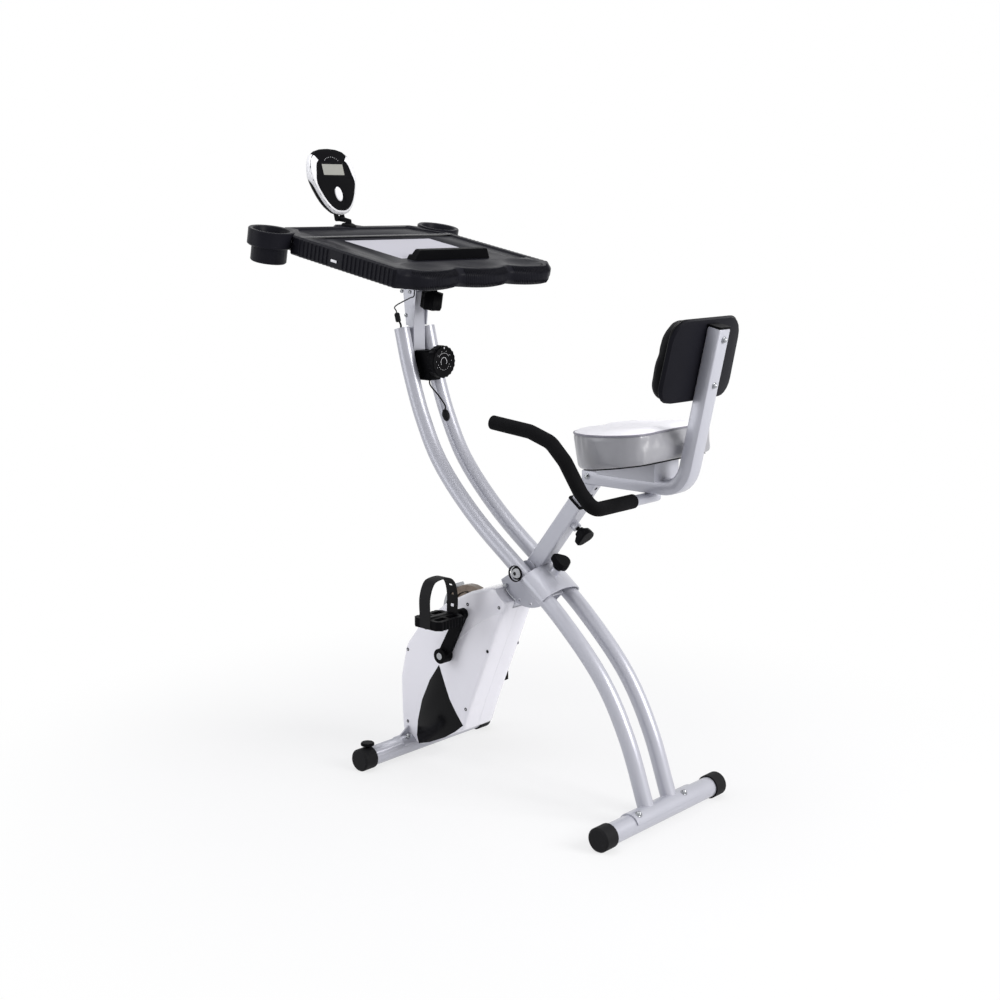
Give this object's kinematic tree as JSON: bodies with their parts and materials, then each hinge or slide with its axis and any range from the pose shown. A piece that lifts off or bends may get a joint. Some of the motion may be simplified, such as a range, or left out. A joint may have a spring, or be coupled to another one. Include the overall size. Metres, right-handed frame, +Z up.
{
  "type": "desk exercise bike",
  "caption": "Folding exercise bike with a desk, padded seat and backrest, covered flywheel drive, strapped pedals and cup holders.",
  "frame": {"origin": "on the floor, halfway along the bike and on its middle plane", "axes": "+X towards the seat's back, so the rider faces -X; +Y to the rider's right; +Z up"},
  "size_m": [1.2329, 0.6832, 1.5147],
  "materials": {
    "back_leather": "black leatherette",
    "black_plastic": "black moulding",
    "cover_gloss": "glossy white moulding",
    "desk_plastic": "charcoal moulding with a slight sheen",
    "elastic": "black elastic band",
    "foam": "black foam grip",
    "frame_paint": "silver-white powder coat",
    "inlay_grey": "light grey mat",
    "rubber": "black rubber",
    "screen": "grey display window",
    "seat_leather": "light grey leatherette",
    "steel": "bright steel",
    "white_plastic": "white button"
  },
  "bodies": {
    "seat": {"backrest_pad": "back_leather", "backrest_shell": "black_plastic", "handle_bar": "frame_paint", "handle_grip": "foam", "post_cap": "black_plastic", "seat_bracket": "frame_paint", "seat_cushion": "seat_leather", "seat_post": "frame_paint"},
    "frame": {"cable_grommet": "rubber", "left_frame_tube": "frame_paint", "left_rear_cap": "rubber", "lock_bracket": "frame_paint", "mast_bracket": "frame_paint", "mast_post": "frame_paint", "pivot_bolt": "steel", "rear_foot_tube": "frame_paint", "rear_saddle": "frame_paint", "right_frame_tube": "frame_paint", "right_rear_cap": "rubber", "sensor_cable": "rubber", "sensor_plug": "rubber", "tension_block": "black_plastic", "tension_cable": "rubber"},
    "crank": {"crank_axle": "steel", "left_crank_arm": "black_plastic", "right_crank_arm": "black_plastic"},
    "desk_clamp": {"desk_clamp_knob": "black_plastic"},
    "desk": {"desk_inlay": "inlay_grey", "desk_rail": "steel", "desk_top": "desk_plastic", "elastic_band": "elastic", "left_cup_holder": "desk_plastic", "monitor_stem": "black_plastic", "paper_stop": "black_plastic", "right_cup_holder": "desk_plastic"},
    "front_frame": {"drive_belt": "rubber", "drive_bracket": "frame_paint", "front_foot_tube": "frame_paint", "left_cover": "cover_gloss", "left_front_cap": "rubber", "right_cover": "cover_gloss", "right_front_cap": "rubber", "seat_tube": "frame_paint", "stop_saddle": "frame_paint", "tube_bush": "black_plastic"},
    "wheel": {"flywheel": "steel"},
    "fold_pull": {"fold_knob": "black_plastic"},
    "left_leveller_turn": {"left_leveller": "black_plastic"},
    "left_pedal_turn": {"left_pedal": "black_plastic", "left_pedal_strap": "rubber"},
    "lock_pin_slide": {"lock_pin": "steel"},
    "magnet": {"magnet_arm": "steel"},
    "monitor_key": {"monitor_button": "white_plastic"},
    "monitor": {"monitor_case": "black_plastic", "monitor_screen": "screen"},
    "right_leveller_turn": {"right_leveller": "black_plastic"},
    "right_pedal_turn": {"right_pedal": "black_plastic", "right_pedal_strap": "rubber"},
    "seat_pull": {"seat_knob": "black_plastic"},
    "dial": {"tension_dial": "black_plastic"}
  },
  "joints": [
    {"name": "fold", "type": "hinge", "parent": "frame", "child": "front_frame", "pos_m": [0.0998, 0, 0.531], "axis": [0, -1, 0], "range_deg": [0, 36]},
    {"name": "lock_pin_pull", "type": "slide", "parent": "frame", "child": "lock_pin_slide", "axis": [0, -1, 0], "range_m": [0, 0.055]},
    {"name": "dial_turn", "type": "hinge", "parent": "frame", "child": "dial", "pos_m": [-0.2812, 0, 1.001], "axis": [1, 0, 0], "range_deg": [0, 270]},
    {"name": "desk_clamp_turn", "type": "hinge", "parent": "frame", "child": "desk_clamp", "pos_m": [-0.21182, 0, 1.2306], "axis": [0.1925, 0, 0.9813], "range_deg": [0, 360]},
    {"name": "desk_slide", "type": "slide", "parent": "frame", "child": "desk", "axis": [0.9813, 0, -0.1925], "range_m": [-0.04, 0.04]},
    {"name": "monitor_tilt", "type": "hinge", "parent": "desk", "child": "monitor", "pos_m": [-0.54967, 0, 1.34077], "axis": [0, 1, 0], "range_deg": [-12, 10]},
    {"name": "monitor_key_press", "type": "slide", "parent": "monitor", "child": "monitor_key", "axis": [-0.9563, 0, -0.2924], "range_m": [0, 0.0015], "stiffness_N_per_m": 400},
    {"name": "fold_knob_pull", "type": "slide", "parent": "front_frame", "child": "fold_pull", "axis": [0.6046, 0, 0.7965], "range_m": [0, 0.012], "stiffness_N_per_m": 600},
    {"name": "seat_knob_pull", "type": "slide", "parent": "front_frame", "child": "seat_pull", "axis": [0.7965, 0, -0.6046], "range_m": [0, 0.012], "stiffness_N_per_m": 600},
    {"name": "crank_turn", "type": "hinge", "parent": "front_frame", "child": "crank", "pos_m": [-0.1292, 0, 0.29], "axis": [0, 1, 0], "continuous": true},
    {"name": "wheel_turn", "type": "hinge", "parent": "front_frame", "child": "wheel", "pos_m": [-0.0992, 0, 0.385], "axis": [0, 1, 0], "continuous": true},
    {"name": "magnet_swing", "type": "hinge", "parent": "front_frame", "child": "magnet", "pos_m": [-0.17974, 0, 0.36492], "axis": [0, -1, 0], "range_deg": [0, 2.5]},
    {"name": "left_pedal_spin", "type": "hinge", "parent": "crank", "child": "left_pedal_turn", "pos_m": [-0.06817, 0, 0.40478], "axis": [0, 1, 0], "continuous": true},
    {"name": "right_pedal_spin", "type": "hinge", "parent": "crank", "child": "right_pedal_turn", "pos_m": [-0.19023, 0, 0.17522], "axis": [0, 1, 0], "continuous": true},
    {"name": "seat_slide", "type": "slide", "parent": "front_frame", "child": "seat", "axis": [0.6046, 0, 0.7965], "range_m": [-0.045, 0.08]},
    {"name": "left_leveller_turn", "type": "hinge", "parent": "front_frame", "child": "left_leveller_turn", "pos_m": [-0.2692, -0.2005, 0.055], "axis": [0, 0, 1], "range_deg": [0, 360]},
    {"name": "right_leveller_turn", "type": "hinge", "parent": "front_frame", "child": "right_leveller_turn", "pos_m": [-0.2692, 0.2005, 0.055], "axis": [0, 0, 1], "range_deg": [0, 360]}
  ],
  "couplings": [
    {"joint": "crank_turn", "follows": "wheel_turn", "ratio": 0.30882}
  ]
}
